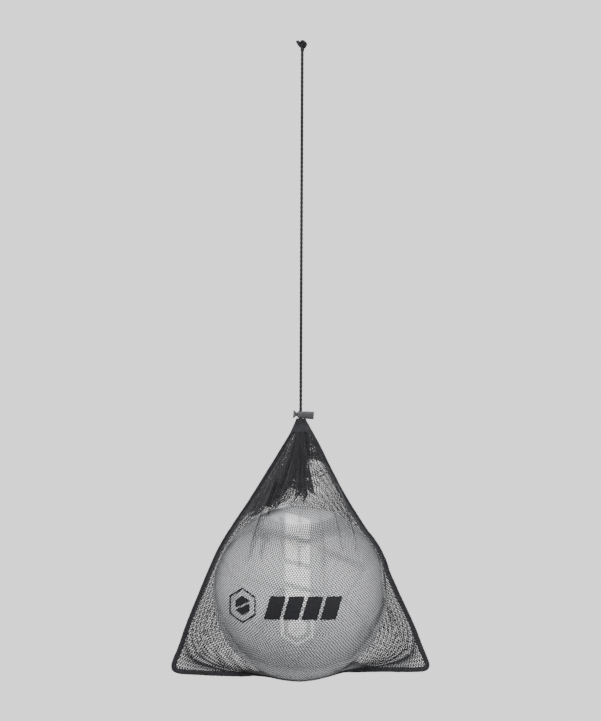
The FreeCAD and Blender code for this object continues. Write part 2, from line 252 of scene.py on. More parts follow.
def fabric_material(name, low, high, scale, roughness=0.75, sheen=0.12):
    mat, nodes, links, shader = new_material(name, low, roughness)
    shader.inputs["Specular IOR Level"].default_value = 0.12
    shader.inputs["Sheen Weight"].default_value = sheen
    shader.inputs["Sheen Roughness"].default_value = 0.4
    where, _ = noise_colour(nodes, links, shader, low, high, scale)
    noise_bump(nodes, links, shader, where, 2600.0, 0.35, 0.0002)
    return mat


def plastic_material(name, low, high):
    mat, nodes, links, shader = new_material(name, low, 0.40)
    shader.inputs["Specular IOR Level"].default_value = 0.30
    where, _ = noise_colour(nodes, links, shader, low, high, 90.0)
    noise_bump(nodes, links, shader, where, 1800.0, 0.12, 0.0001)
    return mat


def ball_material():
    """Light grey grained skin with white marks, from a per-point mask."""
    mat, nodes, links, shader = new_material("ball_skin_grain", (0.5, 0.5, 0.5), 0.58)
    where, noise = noise_colour(nodes, links, shader, (0.50, 0.51, 0.525), (0.53, 0.54, 0.555), 14.0)
    ramp = noise.outputs["Fac"].links[0].to_node
    mask = nodes.new("ShaderNodeAttribute")
    mask.attribute_name = "white_mark"
    mix = nodes.new("ShaderNodeMix")
    mix.data_type = "RGBA"
    mix.inputs["B"].default_value = (0.96, 0.96, 0.96, 1.0)
    links.new(mask.outputs["Fac"], mix.inputs["Factor"])
    links.new(ramp.outputs["Color"], mix.inputs["A"])
    links.new(mix.outputs["Result"], shader.inputs["Base Color"])
    voronoi = nodes.new("ShaderNodeTexVoronoi")
    voronoi.inputs["Scale"].default_value = 900.0
    bump = nodes.new("ShaderNodeBump")
    bump.inputs["Strength"].default_value = 0.25
    bump.inputs["Distance"].default_value = 0.0002
    links.new(where.outputs["Object"], voronoi.inputs["Vector"])
    links.new(voronoi.outputs["Distance"], bump.inputs["Height"])
    links.new(bump.outputs["Normal"], shader.inputs["Normal"])
    return mat


def metal_material():
    mat, nodes, links, shader = new_material("spring_wire", (0.55, 0.55, 0.57), 0.3, 1.0)
    noise_colour(nodes, links, shader, (0.5, 0.5, 0.52), (0.62, 0.62, 0.64), 400.0)
    return mat


def stage_material(name, colour):
    mat, nodes, links, shader = new_material(name, colour, 0.9)
    noise_colour(nodes, links, shader, colour, tuple(min(1.0, c * 1.02) for c in colour), 2.0)
    return mat


MESH_YARN = fabric_material("mesh_yarn", (0.008, 0.008, 0.0095), (0.014, 0.014, 0.0165), 60.0)
BINDING_TAPE = fabric_material("binding_tape", (0.004, 0.004, 0.005), (0.008, 0.008, 0.010), 300.0)
THREAD = fabric_material("sewing_thread", (0.006, 0.006, 0.008), (0.018, 0.018, 0.021), 500.0, 0.6)
CORD = fabric_material("cord_braid", (0.0015, 0.0015, 0.002), (0.0055, 0.0055, 0.007), 900.0, 0.6, 0.03)
PRINT = fabric_material("print_film", (0.003, 0.003, 0.004), (0.006, 0.006, 0.0075), 400.0, 0.65, 0.03)
LOCK_GREY = plastic_material("lock_grey_plastic", (0.013, 0.013, 0.0145), (0.018, 0.018, 0.020))
BALL_SKIN = ball_material()
SPRING = metal_material()
RUBBER = plastic_material("valve_rubber", (0.03, 0.03, 0.03), (0.05, 0.05, 0.05))


def dress(obj, material):
    obj.data.materials.clear()
    obj.data.materials.append(material)
    return obj


# ============================== camera ==============================

CAMERA_FAR = 4.5
CAMERA_X, CAMERA_Z = -0.0005, -0.3957
CAMERA_LEAN = math.radians(0.25)
VIEW_HEIGHT = 721 * 1.25 * MM                   # picture rows times the size of one at the bag
SENSOR_HEIGHT = 24.0


def make_camera():
    """Square on to the bag's front, far off, so that the picture has almost no perspective."""
    data = bpy.data.cameras.new("photo_camera")
    data.sensor_fit = "VERTICAL"
    data.sensor_height = SENSOR_HEIGHT
    data.lens = SENSOR_HEIGHT * CAMERA_FAR / VIEW_HEIGHT
    camera = link(bpy.data.objects.new("photo_camera", data))
    camera.matrix_world = (Matrix.Translation((CAMERA_X, -CAMERA_FAR, CAMERA_Z))
                           @ Matrix.Rotation(math.pi / 2, 4, "X") @ Matrix.Rotation(CAMERA_LEAN, 4, "Z"))
    bpy.context.scene.camera = camera


make_camera()


# ============================== cords ==============================

def nurbs_line(name, points):
    """The cord's own line: a NURBS spline with the route's points as control points, read back as points."""
    curve = bpy.data.curves.new(name, "CURVE")
    curve.dimensions = "3D"
    curve.resolution_u = 64
    spline = curve.splines.new("NURBS")
    spline.points.add(len(points) - 1)
    for at, point in zip(spline.points, points):
        at.co = (*point, 1.0)
    spline.order_u = 3
    spline.use_endpoint_u = True
    holder = link(bpy.data.objects.new(name, curve))
    mesh = bpy.data.meshes.new_from_object(holder)
    line = np.array([v.co for v in mesh.vertices], float)
    bpy.data.objects.remove(holder)
    bpy.data.meshes.remove(mesh)
    return line


def frames_along(line, lead):
    """Side and up vectors at each point of a line, carried along without twisting."""
    along = unit(np.gradient(line, axis=0))
    side = unit(np.cross(along[0], lead))
    sides = []
    for a in along:
        side = unit(side - a * np.dot(side, a))
        sides.append(side)
    sides = np.array(sides)
    return sides, np.cross(along, sides)


def braided_cord(name, line, radius, step, round_ends=(True, True), lead=(1.0, 0.0, 0.0)):
    """A braided tube round a line: plaits cross each other in diamonds, one over, one under."""
    length = float(np.linalg.norm(np.diff(line, axis=0), axis=1).sum())
    rings = max(8, int(length / step))
    line = resampled(line, rings)
    around = 32
    sides, ups = frames_along(line, np.array(lead))
    angle = np.linspace(0, 2 * np.pi, around, endpoint=False)[None, :]
    along = np.linspace(0, length, rings)[:, None]
    turn = 2 * np.pi * along / BRAID_PITCH
    plait = BRAID_CARRIERS / 2
    first = np.cos(plait * (angle + turn / plait))
    second = np.cos(plait * (angle - turn / plait))
    height = 0.10 * np.maximum(first, second) + 0.05 * first * second
    r = radius * (0.90 + height)
    if round_ends[0]:
        r = r * np.sqrt(np.clip(1 - (1 - along / radius).clip(0, 1) ** 2, 0.02, 1))
    if round_ends[1]:
        r = r * np.sqrt(np.clip(1 - (1 - (length - along) / radius).clip(0, 1) ** 2, 0.02, 1))
    ring = (line[:, None, :] + sides[:, None, :] * (r * np.cos(angle))[..., None]
            + ups[:, None, :] * (r * np.sin(angle))[..., None]).reshape(-1, 3)
    faces = [list(f) for f in tube_faces(rings, around).tolist()]
    faces.append(list(range(around))[::-1])
    faces.append([(rings - 1) * around + j for j in range(around)])
    return dress(mesh_object(name, ring, faces), CORD)


def make_strands():
    strands = []
    for side, word in ((-1, "front"), (1, "rear")):
        route = [(side * STRAND_X, side * STRAND_Y, z * MM) for z in STRAND_Z]
        line = nurbs_line(f"strand_{word}_line", route)
        piece = braided_cord(f"cord_strand_{word}", line, CORD_D / 2, 0.35 * MM)
        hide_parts(f"drawcord_strand_{word}")
        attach(piece, "cord")
        strands.append((piece, line, route))
    return strands


def knot_line(offset_y, turn):
    """One turn of the knot: a strand wound round itself three times, pulled up tight."""
    t = np.linspace(0, 2 * np.pi, 160)
    x = (1.85 + 1.10 * np.cos(3 * t)) * np.cos(2 * t)
    z = (3.00 + 1.40 * np.cos(3 * t)) * np.sin(2 * t)
    y = 1.7 * np.sin(3 * t) + offset_y
    c, s = math.cos(turn), math.sin(turn)
    return np.stack([x * c - z * s + 1.5, y, x * s + z * c - 0.5], axis=1) * MM


def make_knot():
    """The doubled overhand knot with its two cut ends, and the short ends that come up from the strands."""
    pieces = []
    for word, offset, turn in (("front", -1.5, 0.25), ("rear", 1.5, 0.05)):
        pieces.append(braided_cord(f"knot_turn_{word}", knot_line(offset, turn), KNOT_TURN_R * MM, 0.3 * MM,
                                   round_ends=(False, False), lead=(0.3, 1.0, 0.2)))
    runs = {"tail_front": [(0.6, -2.2, -4.4), (-1.8, -2.7, -3.6), (-4.4, -2.6, -0.4), (-6.2, -2.3, 2.4),
                           (-7.2, -2.1, 3.9)],
            "tail_rear": [(-0.8, 1.4, -2.2), (-2.2, 1.8, -0.6), (-3.6, 1.8, 1.2), (-5.0, 1.6, 2.8),
                          (-6.8, 1.5, 4.1)],
            "neck_front": [(-0.8, -1.7, -9.6), (-0.7, -1.7, -7.0), (-0.1, -1.7, -4.4), (0.9, -1.5, -2.2)],
            "neck_rear": [(0.8, 1.7, -9.6), (0.9, 1.7, -7.0), (1.3, 1.7, -4.4), (1.6, 1.5, -2.2)],
            "core": [(1.2, 0.0, -5.4), (1.4, 0.0, -1.0), (1.5, 0.0, 3.2)]}
    for word, points in runs.items():
        line = spline_points(np.array(points) * MM, 40)
        radius = KNOT_RUN_R.get(word, KNOT_NECK_R) * MM
        pieces.append(braided_cord(f"knot_{word}", line, radius, 0.3 * MM, lead=(0.3, 1.0, 0.2)))
    bpy.ops.object.select_all(action="DESELECT")
    for piece in pieces:
        piece.select_set(True)
    bpy.context.view_layer.objects.active = pieces[0]
    bpy.ops.object.join()
    knot = pieces[0]
    knot.name = "cord_knot"
    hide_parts("drawcord_knot", "drawcord_tail_front", "drawcord_tail_rear")
    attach(knot, "hang_knot")
    return knot


STRANDS = make_strands()
KNOT = make_knot()


# ============================== bag surface ==============================

def seam_lines():
    left = spline_points([(x * MM, 0.0, z * MM) for x, z in LEFT_SIDE], GRID_V)
    right = spline_points([(x * MM, 0.0, z * MM) for x, z in RIGHT_SIDE], GRID_V)
    bottom = spline_points(np.array(BOTTOM, float) * MM, GRID_U)
    keep = BALL_R + NET_GAP + BINDING_W / 2
    left, right = off_ball(left, keep), off_ball(right, keep)
    bottom = off_ball(bottom, BALL_R + NET_GAP + BINDING_T / 2)
    return left, right, bottom


LEFT, RIGHT, LOW = seam_lines()


def middle_line(side, radius):
    """A panel's middle line: down the neck, over the ball and under it to the seam."""
    top = np.array([0.5 * (LEFT[0, 0] + RIGHT[0, 0]), side * 6.0 * MM, LEFT[0, 2]])
    up = top[2] - BALL_C[2]
    far = math.hypot(top[1], up)
    tangent = math.atan2(abs(top[1]), up) + math.acos(radius / far)
    end_point = LOW[len(LOW) // 2]
    end = math.atan2(side * end_point[1], end_point[2] - BALL_C[2]) % (2 * math.pi)
    angle = np.linspace(tangent, end, 160)
    arc = np.stack([np.zeros_like(angle), side * radius * np.sin(angle),
                    BALL_C[2] + radius * np.cos(angle)], axis=1)
    return resampled(np.vstack([top[None, :], arc]), GRID_V)


def runs_out(u):
    """How far below the neck the pleats run out at a fraction of the width, in mm."""
    return np.interp(u, *np.array(PLEAT_RUNS).T)


def pleat_depth(u, drop, width, rng):
    """How far the net is drawn in from its outer envelope, and how far each pleat lies over, in metres.

    u runs across, drop is the distance below the neck and width the envelope's length across, both in
    mm. Each pleat takes up its share of the cloth, and has its own width, depth and end."""
    warp = sum(a * np.sin(2 * np.pi * k * u + p) for k, a, p in
               zip((1, 2, 3), rng.uniform(0.003, 0.007, 3), rng.uniform(0, 6.3, 3)))
    s = PLEATS * (u + warp * np.sin(np.pi * u))
    which = np.clip(np.floor(s).astype(int), 0, PLEATS - 1)
    uneven = rng.uniform(0.85, 1.15, PLEATS)[which]
    ends = runs_out((which + 0.5) / PLEATS) * rng.uniform(0.94, 1.06, PLEATS)[which]
    valley = (np.sin(np.pi * np.clip(s, 0, PLEATS)) ** 2) ** 0.7
    cloth = 0.5 * np.sqrt(np.maximum((FLAT_W / MM / PLEATS) ** 2 - (width / PLEATS) ** 2, 0.0))
    room = width / np.pi * 0.80 + 0.6
    seam = 0.25 + 0.75 * smooth(np.minimum(u, 1 - u) / 0.06)
    fade = (1 - smooth((drop - ends * 0.78) / (ends * 0.22))) * seam
    deep = np.minimum(cloth, room) * uneven * fade * valley * (0.30 + 0.70 * smooth((drop - 25) / 45))
    fine = 0.25 * np.sin(2 * np.pi * 41 * u + 3 * np.sin(4 * np.pi * u)) * (1 - smooth((drop - 60) / 60))
    lean = rng.uniform(0.35, 0.75, PLEATS) * np.where(np.arange(PLEATS) < PLEATS / 2, 1, -1)
    bunch = np.zeros(len(u))
    for place in np.array(VALLEYS) + rng.uniform(-0.012, 0.012, len(VALLEYS)):
        narrow = 0.018 + 0.4 / max(width, 20.0)
        reach = min(rng.uniform(75, 105), runs_out(place) + 10)
        sunk = (1 - smooth((drop - reach * 0.6) / (reach * 0.4))) * smooth((drop - 3) / 9) * seam
        bunch = bunch + min(11.0, 0.16 * width) * np.exp(-((u - place) / narrow) ** 2) * sunk
    return (deep + bunch + fine) * MM, lean[which] * deep * MM


def fold_height(points):
    """How far the pinched folds lift the front panel, in metres."""
    x, z = points[..., 0] / MM, points[..., 2] / MM
    lift = np.zeros(x.shape)
    for fold in FOLDS:
        line = spline_points(fold, 120)
        near = np.full(x.shape, 1e9)
        half, high = np.ones(x.shape), np.zeros(x.shape)
        inside = ((np.abs(x - line[:, 0].mean()) < 45)
                  & (z < line[:, 1].max() + 8) & (z > line[:, 1].min() - 8))
        px, pz = x[inside][:, None], z[inside][:, None]
        gap = (px - line[None, :, 0]) ** 2 + (pz - line[None, :, 1]) ** 2
        best = gap.argmin(axis=1)
        near[inside] = np.sqrt(gap[np.arange(len(best)), best])
        half[inside], high[inside] = line[best, 2], line[best, 3]
        lift = np.maximum(lift, high * np.exp(-(near / half) ** 2))
    return lift * MM


def grid_normals(grid, side):
    down = np.gradient(grid, axis=0)
    across = np.gradient(grid, axis=1)
    return unit(np.cross(across, down)) * side


def cloth_share(line, drawn):
    """How much of the drawn-in offsets a row can take before it is longer than the cloth is wide."""
    low, high = 0.0, 1.25
    for _ in range(10):
        share = (low + high) / 2
        length = np.linalg.norm(np.diff(line + drawn * share, axis=0), axis=1).sum()
        low, high = (share, high) if length < 1.03 * FLAT_W else (low, share)
    return low


def panel_surface(side):
    """The net's middle surface as a grid of points, rows from the neck down, columns from left to right."""
    rng = np.random.default_rng(20 + side)
    radius = BALL_R + NET_GAP
    middle = middle_line(side, radius)
    envelope = np.zeros((GRID_V, FINE_U, 3))
    angle = np.linspace(0, np.pi, 600)
    low_line = resampled(LOW, FINE_U)
    share = np.linspace(-1, 1, FINE_U)[:, None]
    for i in range(GRID_V):
        t = i / (GRID_V - 1)
        left, right = LEFT[i], RIGHT[i]
        power = 2.0 - 0.65 * smooth(t)
        settle = smooth((t - 0.8) / 0.2)
        centre, across = (left + right) / 2, (right - left) / 2
        out = middle[i] - centre
        c = np.cos(angle)
        row = (centre - across * (np.sign(c) * np.abs(c) ** (2 / power))[:, None]
               + out * (np.sin(angle).clip(0, 1) ** (2 / power))[:, None])
        row = resampled(row, FINE_U)
        low = low_line.copy()
        low[:, 0] *= np.where(low[:, 0] < 0, left[0] / LOW[0, 0], right[0] / LOW[-1, 0])
        low[:, 2] += (np.where(share < 0, left[2] - LEFT[-1, 2], right[2] - RIGHT[-1, 2]) * share ** 2)[:, 0]
        envelope[i] = off_ball(row * (1 - settle) + low * settle, radius)
    normal = grid_normals(envelope, side)
    u = np.linspace(0, 1, FINE_U)
    grid = np.zeros((GRID_V, GRID_U, 3))
    state = rng.bit_generator.state
    for i in range(GRID_V):
        width = float(np.linalg.norm(np.diff(envelope[i], axis=0), axis=1).sum()) / MM
        drop = (envelope[0, :, 2].mean() - envelope[i, :, 2]) / MM
        rng.bit_generator.state = state
        depth, over = pleat_depth(u, drop, width, rng)
        drawn = unit(np.gradient(envelope[i], axis=0)) * over[:, None] - normal[i] * depth[:, None]
        row = envelope[i] + drawn * cloth_share(envelope[i], drawn)
        if side < 0:
            row = row + unit(0.25 * normal[i] + np.array((0.0, -1.0, 0.0))) * fold_height(row)[:, None]
        row = off_ball(row, radius)
        grid[i] = resampled(row, GRID_U)
    return grid


def sample(grid, u, v):
    """Smooth (Catmull-Rom) values of a grid at fractions u across and v down."""
    rows, columns = grid.shape[:2]
    x, y = u * (columns - 1), v * (rows - 1)
    j, i = np.floor(x).astype(int), np.floor(y).astype(int)
    fx, fy = x - j, y - i

    def weights(f):
        return (-0.5 * f + f ** 2 - 0.5 * f ** 3, 1 - 2.5 * f ** 2 + 1.5 * f ** 3,
                0.5 * f + 2 * f ** 2 - 1.5 * f ** 3, -0.5 * f ** 2 + 0.5 * f ** 3)
    wx, wy = weights(fx), weights(fy)
    total = 0.0
    for a in range(4):
        row = np.clip(i + a - 1, 0, rows - 1)
        line = 0.0
        for b in range(4):
            line = line + grid[row, np.clip(j + b - 1, 0, columns - 1)] * wx[b][:, None]
        total = total + line * wy[a][:, None]
    return total


# ============================== net ==============================

def make_net(side, word, grid):
    """Knitted net on the panel: staggered rows of six-sided holes, with a solid yarn between them."""
    normal = grid_normals(grid, side)
    columns = NET_COLUMNS + (3 if side > 0 else 0)
    rows = NET_ROWS
    lean = -0.06 if side < 0 else 0.24           # the cloth is cut a little off its grain, in columns a row
    extra = int(abs(lean) * rows / 2) + 2
    du, dv = 1.0 / columns, 1.0 / rows
    sizes = np.stack([np.linalg.norm(np.gradient(grid, 1.0 / (GRID_U - 1), axis=1), axis=-1),
                      np.linalg.norm(np.gradient(grid, 1.0 / (GRID_V - 1), axis=0), axis=-1)], axis=-1)
    gap, k = np.meshgrid(np.arange(rows - 1), np.arange(-extra, columns + extra), indexing="ij")
    count = gap.size
    points, params, inside = [], [], []
    for kind in (0, 1):
        x = k + 0.5 * (gap % 2) + (0.75 if kind == 0 else 0.25)
        y = gap + (5 / 6 if kind == 0 else 7 / 6)
        u, v = ((x + lean * (y - rows / 2)) * du).ravel(), (y * dv).ravel()
        inside.append((u > -0.3 * du) & (u < 1 + 0.3 * du))
        u, v = np.clip(u, 0, 1), np.clip(v, 0, 1)
        holes = ([(-0.5, -1 / 3), (0.5, -1 / 3), (0.0, 2 / 3)] if kind == 0
                 else [(-0.5, 1 / 3), (0.5, 1 / 3), (0.0, -2 / 3)])
        size = sample(sizes, u, v)
        centre = sample(grid, u, v)
        drop, ends = (grid[0, :, 2].mean() - centre[:, 2]) / MM, runs_out(u)
        bunched = 1 - smooth((drop - ends + 14.0) / 22.0)
        reach_out = np.hypot(centre[:, 0], centre[:, 2] - BALL_C[2]) / MM
        slack = smooth((reach_out - BALL_R / MM + 3.0) / 6.0) * smooth((drop - 120.0) / 30.0)
        yarn = YARN_W * (1 + 0.18 * bunched * smooth((drop - 20.0) / 40.0) + 0.01 * slack)
        nrm = unit(sample(normal, u, v)) * (YARN_T / 2)
        here, at = [centre + nrm, centre - nrm], [(u, v), (u, v)]
        for hx, hy in holes:
            reach = np.hypot(hx * du * size[:, 0], hy * dv * size[:, 1])
            part = np.minimum(0.60 * yarn / np.maximum(reach, 1e-9), 0.76)
            hole_u = np.clip(u + (hx + lean * hy) * du * part, 0, 1)
            hole_v = np.clip(v + hy * dv * part, 0, 1)
            here.append(sample(grid, hole_u, hole_v))
            at.append((hole_u, hole_v))
        points.append(np.stack(here, axis=1).reshape(-1, 3))
        params.append(np.stack([np.stack(pair, axis=-1) for pair in at], axis=1).reshape(-1, 2))
    points, params = np.concatenate(points), np.concatenate(params)
    number = (gap * gap.shape[1] + k + extra).astype(int)

    def bars(ends, ok):
        """Four faces of each bar of yarn between two crossings: (kind, number, its two base points) twice."""
        corners = []
        for kind, which, (first, second) in ends:
            base = (kind * count + which[ok]) * 5
            corners.append([base, base + second, base + 1, base + first])
        a, b = corners
        return [np.stack([a[m], a[(m + 1) % 4], b[(m + 1) % 4], b[m]], axis=-1) for m in range(4)]

    wide = gap.shape[1]
    joins = []
    # each crossing with two holes above it joins the one down to its left, down to its right, and straight up
    ok = k > -extra
    joins.append((((0, number, (2, 4)), (1, number, (4, 2))), ok))
    ok = k < columns + extra - 1
    joins.append((((0, number, (4, 3)), (1, number + 1, (3, 4))), ok))
    up = number - wide + np.where(gap % 2 == 0, 0, 1)
    ok = (gap > 0) & (k < columns + extra - 1)
    joins.append((((0, number, (3, 2)), (1, up, (3, 2))), ok))
    faces, level = [], []
    for ends, ok in joins:
        ok = ok & inside[0].reshape(gap.shape)
        other = np.where(ok, ends[1][1], 0)
        ok = ok & inside[1][other]
        for quads in bars(ends, ok):
            faces.append(quads)
            level.append(gap[ok])
    faces, level = np.concatenate(faces), np.concatenate(level)

    pieces = []
    for band, place in enumerate(("neck", "upper", "middle", "lower")):
        low, high = band * rows // NET_BANDS, (band + 1) * rows // NET_BANDS
        part = faces[(level >= low) & (level < high)]
        used, again = np.unique(part, return_inverse=True)
        piece = mesh_object(f"{word}_net_{place}", points[used], again.reshape(part.shape), uv=params[used])
        pieces.append(dress(piece, MESH_YARN))
    return pieces


def make_tuck(grid):
    """The tuck of doubled net at the bottom right, where the seam leaves the ball."""
    top = np.array([(46, -784), (52, -780.5), (58, -776.2), (64, -772.0), (69, -769.2), (73, -771.0),
                    (79, -775.6), (86, -780.2), (95, -783.6)])
    stations, levels = 90, 16
    x = np.linspace(46, 95, stations)
    high = spline_points(np.column_stack([top, np.zeros(len(top))]), 200)
    high = np.interp(x, high[:, 0], high[:, 1]) + 0.35 * np.sin(x * 1.9)
    flat = grid.reshape(-1, 3)[::3] / MM
    flat = flat[(flat[:, 0] > 38) & (flat[:, 0] < 104) & (flat[:, 2] < -756)]
    share = np.linspace(0, 1, levels)
    z = high[:, None] + (-783.2 - high[:, None]) * share[None, :]
    gap = (flat[None, None, :, 0] - x[:, None, None]) ** 2 + (flat[None, None, :, 2] - z[:, :, None]) ** 2
    y = flat[:, 1][gap.argmin(axis=2)]
    for _ in range(6):
        y[1:-1] = (y[:-2] + 2 * y[1:-1] + y[2:]) / 4
    room = np.minimum(1.0, (high[:, None] + 784.4) / 3.0)
    ripple = 0.5 * np.sin(x * 1.3)[:, None] * np.sin(np.pi * share)[None, :]
    outer = y - 0.7 - (1.6 * np.sin(np.pi * share)[None, :] + ripple) * room
    inner = y + 0.2
    front = np.stack([np.repeat(x[:, None], levels, 1), outer, z], axis=-1)
    back = np.stack([np.repeat(x[:, None], levels, 1), inner, z], axis=-1)[:, ::-1]
    points = np.concatenate([front, back], axis=1).reshape(-1, 3) * MM
    piece = dress(mesh_object("front_net_tuck", points, tube_faces(stations, 2 * levels)), BINDING_TAPE)
    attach(piece, "bag")
    return piece


PANELS = {"front": panel_surface(-1), "back": panel_surface(1)}
NETS = {word: make_net(-1 if word == "front" else 1, word, grid) for word, grid in PANELS.items()}
TUCK = make_tuck(PANELS["front"])
for word, nets in NETS.items():
    for net in nets:
        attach(net, "bag")
    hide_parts(f"{word}_mesh_panel")


# ============================== binding ==============================

def binding_frames(count):
    """Centre line of the binding and the directions across it: outwards, and through its thickness."""
    line = resampled(np.vstack([LEFT[1:-1], LOW[:-1], RIGHT[:0:-1]]), count)
    for _ in range(12):
        line[1:-1] = (line[:-2] + 2 * line[1:-1] + line[2:]) / 4
    along = unit(np.gradient(line, axis=0))
    out = line - BALL_C
    out = unit(out - along * np.sum(out * along, axis=1, keepdims=True))
    flat = np.cross(along, out)
    flat = np.where(flat[:, 1:2] < 0, -flat, flat)
    under = (np.abs(line[:, 1]) > 0.2 * MM) & (line[:, 2] < -0.77)
    fold = np.where(under, smooth((80 - np.abs(line[:, 0]) / MM) / 35), 0.0) * np.pi / 2
    wide = out * np.cos(fold)[:, None] + flat * np.sin(fold)[:, None]
    thick = flat * np.cos(fold)[:, None] - out * np.sin(fold)[:, None]
    slim = 0.42 + 0.58 * smooth((LEFT[0, 2] - line[:, 2]) / (34 * MM))
    return line, wide, thick, slim


def make_binding():
    """The tape folded over the sewn edge, with an overlock thread wound round it."""
    count, around = 2200, 20
    line, wide, thick, slim = binding_frames(count)
    a = np.linspace(0, 2 * np.pi, around, endpoint=False)[None, :]
    s = np.linspace(0, 970, count)[:, None]
    drift = np.interp(s[:, 0], np.linspace(0, 970, 260), RNG.uniform(-1, 1, 260))[:, None]
    rough = np.interp(s[:, 0], np.linspace(0, 970, 800), RNG.uniform(-1, 1, 800))[:, None]
    bump = 1 + 0.05 * np.sin(2 * np.pi * s / 2.3 + 1.5 * np.cos(a)) + 0.04 * drift + 0.05 * rough * np.cos(a)
    cx = np.sign(np.cos(a)) * np.abs(np.cos(a)) ** 0.7 * BINDING_W / 2 * bump * slim[:, None]
    cy = np.sign(np.sin(a)) * np.abs(np.sin(a)) ** 0.7 * BINDING_T / 2 * bump * (0.5 + 0.5 * slim[:, None])
    points = line[:, None, :] + wide[:, None, :] * cx[..., None] + thick[:, None, :] * cy[..., None]
    piece = dress(mesh_object("edge_binding_tape", points.reshape(-1, 3), tube_faces(count, around)),
                  BINDING_TAPE)
    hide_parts("edge_binding")
    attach(piece, "bag")

    turns, steps = 405, 22
    t = np.linspace(0.004, 0.996, turns * steps)
    at = t * (count - 1)
    low = np.floor(at).astype(int)
    share = (at - low)[:, None]
    high = np.minimum(low + 1, count - 1)
    centre = line[low] * (1 - share) + line[high] * share
    side, up, thin = wide[low], thick[low], slim[low]
    angle = 2 * np.pi * turns * t
    loose = 1 + 0.07 * np.interp(t, np.linspace(0, 1, 900), RNG.uniform(-1, 1, 900))
    reach = (BINDING_W / 2 * thin * loose + 0.15 * MM) * np.sign(np.cos(angle)) * np.abs(np.cos(angle)) ** 0.7
    rise = (BINDING_T / 2 * (0.5 + 0.5 * thin) * loose + 0.15 * MM)
    rise = rise * np.sign(np.sin(angle)) * np.abs(np.sin(angle)) ** 0.7
    path = centre + side * reach[:, None] + up * rise[:, None]
    along = unit(np.gradient(path, axis=0))
    across = unit(np.cross(along, unit(path - centre)))
    over = np.cross(along, across)
    ring = np.linspace(0, 2 * np.pi, 6, endpoint=False)
    tube = (path[:, None, :] + across[:, None, :] * (0.30 * MM * np.cos(ring))[None, :, None]
            + over[:, None, :] * (0.24 * MM * np.sin(ring))[None, :, None])
    thread = dress(mesh_object("overlock_thread", tube.reshape(-1, 3), tube_faces(len(path), 6)), THREAD)
    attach(thread, "bag")


make_binding()


# ============================== hem ==============================

def make_hem():
    """The gathered hem: a pleated roll inside the neck that hides the cord's loop."""
    around = 28 * 12
    section = spline_points([(3.6, 0.0, -469.6), (4.7, 0.0, -468.0), (5.9, 0.0, -469.3), (8.2, 0.0, -476.0),
                             (10.6, 0.0, -482.2), (10.4, 0.0, -485.6), (8.6, 0.0, -486.0), (5.4, 0.0, -480.0),
                             (3.9, 0.0, -474.0), (3.6, 0.0, -469.6)], 40)[:-1]
    a = np.linspace(0, 2 * np.pi, around, endpoint=False)[None, :]
    radius, z = section[:, 0][:, None], section[:, 2][:, None]
    outer = smooth((radius - 4.6) / 2.0)
    radius = radius + (np.abs(np.cos(14 * a + 0.4 * np.sin(3 * a))) ** 0.8 - 0.75) * 1.5 * outer
    z = z + 0.35 * np.sin(5 * a) + 0.25 * np.sin(9 * a + 1.0)
    points = np.stack([radius * np.cos(a) + 0.4, radius * np.sin(a), z], axis=-1).reshape(-1, 3) * MM
    piece = dress(mesh_object("neck_hem_roll", points, tube_faces(len(section), around, closed=True)),
                  MESH_YARN)
    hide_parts("mouth_hem", "drawcord_loop")
    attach(piece, "bag")


make_hem()


# ============================== ball ==============================

def make_ball():
    """The stitched ball: twelve five-sided and twenty six-sided panels with sunk seams."""
    build = bmesh.new()
    bmesh.ops.create_icosphere(build, subdivisions=7, radius=1.0)
    mesh = bpy.data.meshes.new("ball_cover")
    build.to_mesh(mesh)
    build.free()
    ball = link(bpy.data.objects.new("ball_cover", mesh))
    count = len(ball.data.vertices)
    co = np.zeros(count * 3)
    ball.data.vertices.foreach_get("co", co)
    direction = unit(co.reshape(-1, 3))
    golden = (1 + 5 ** 0.5) / 2
    five = [np.roll((0.0, a, b * golden), k) for k in range(3) for a in (-1, 1) for b in (-1, 1)]
    six = [np.array((a, b, c), float) for a in (-1, 1) for b in (-1, 1) for c in (-1, 1)]
    six += [np.roll((0.0, a / golden, b * golden), k + 1) for k in range(3) for a in (-1, 1) for b in (-1, 1)]
    normals = np.vstack([unit(np.array(five)), unit(np.array(six))])
    turn = np.array(Matrix.Rotation(0.35, 3, "X") @ Matrix.Rotation(0.5, 3, "Y")
                    @ Matrix.Rotation(0.2, 3, "Z"))
    normals = normals @ turn.T
    # distances of the panel planes of a truncated icosahedron, so that neighbours meet on its edges
    planes = np.array([2.3274] * 12 + [2.2673] * 20)
    score = direction @ normals.T / planes
    best = np.sort(score, axis=1)[:, -2:]
    apart = (best[:, 1] - best[:, 0]) * 109 * 2.3
    depth = 0.6 * np.exp(-(apart / 0.9) ** 2)
    place = direction * (BALL_R - 0.05 * MM - depth * MM)[:, None] + BALL_C
    ball.data.vertices.foreach_set("co", place.ravel())
    x, z = place[:, 0] / MM, place[:, 2] / MM
    front = place[:, 1] < 0
    mark = np.zeros(count)
    for low, high in ((-612, -588), (-641, -618), (-669, -647), (-694, -675)):
        slant = (x + 3.0) * 0.25
        inside = (np.abs(x + 3.0) < 15.0) & (z + slant > low) & (z + slant < high)
        mark[inside & front] = 1.0
    hexa = np.max([np.abs((x + 3) * math.cos(a) + (z + 722) * math.sin(a))
                   for a in (0, math.pi / 3, -math.pi / 3)], axis=0)
    mark[(hexa < 20) & (hexa > 16.5) & front] = 1.0
    mark[(hexa < 11) & front] = 1.0
    layer = ball.data.attributes.new("white_mark", "FLOAT", "POINT")
    layer.data.foreach_set("value", mark.astype(np.float32))
    ball.data.polygons.foreach_set("use_smooth", np.ones(len(ball.data.polygons), dtype=bool))
    ball.data.update()
    dress(ball, BALL_SKIN)
    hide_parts("ball_casing")
    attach(ball, "ball")


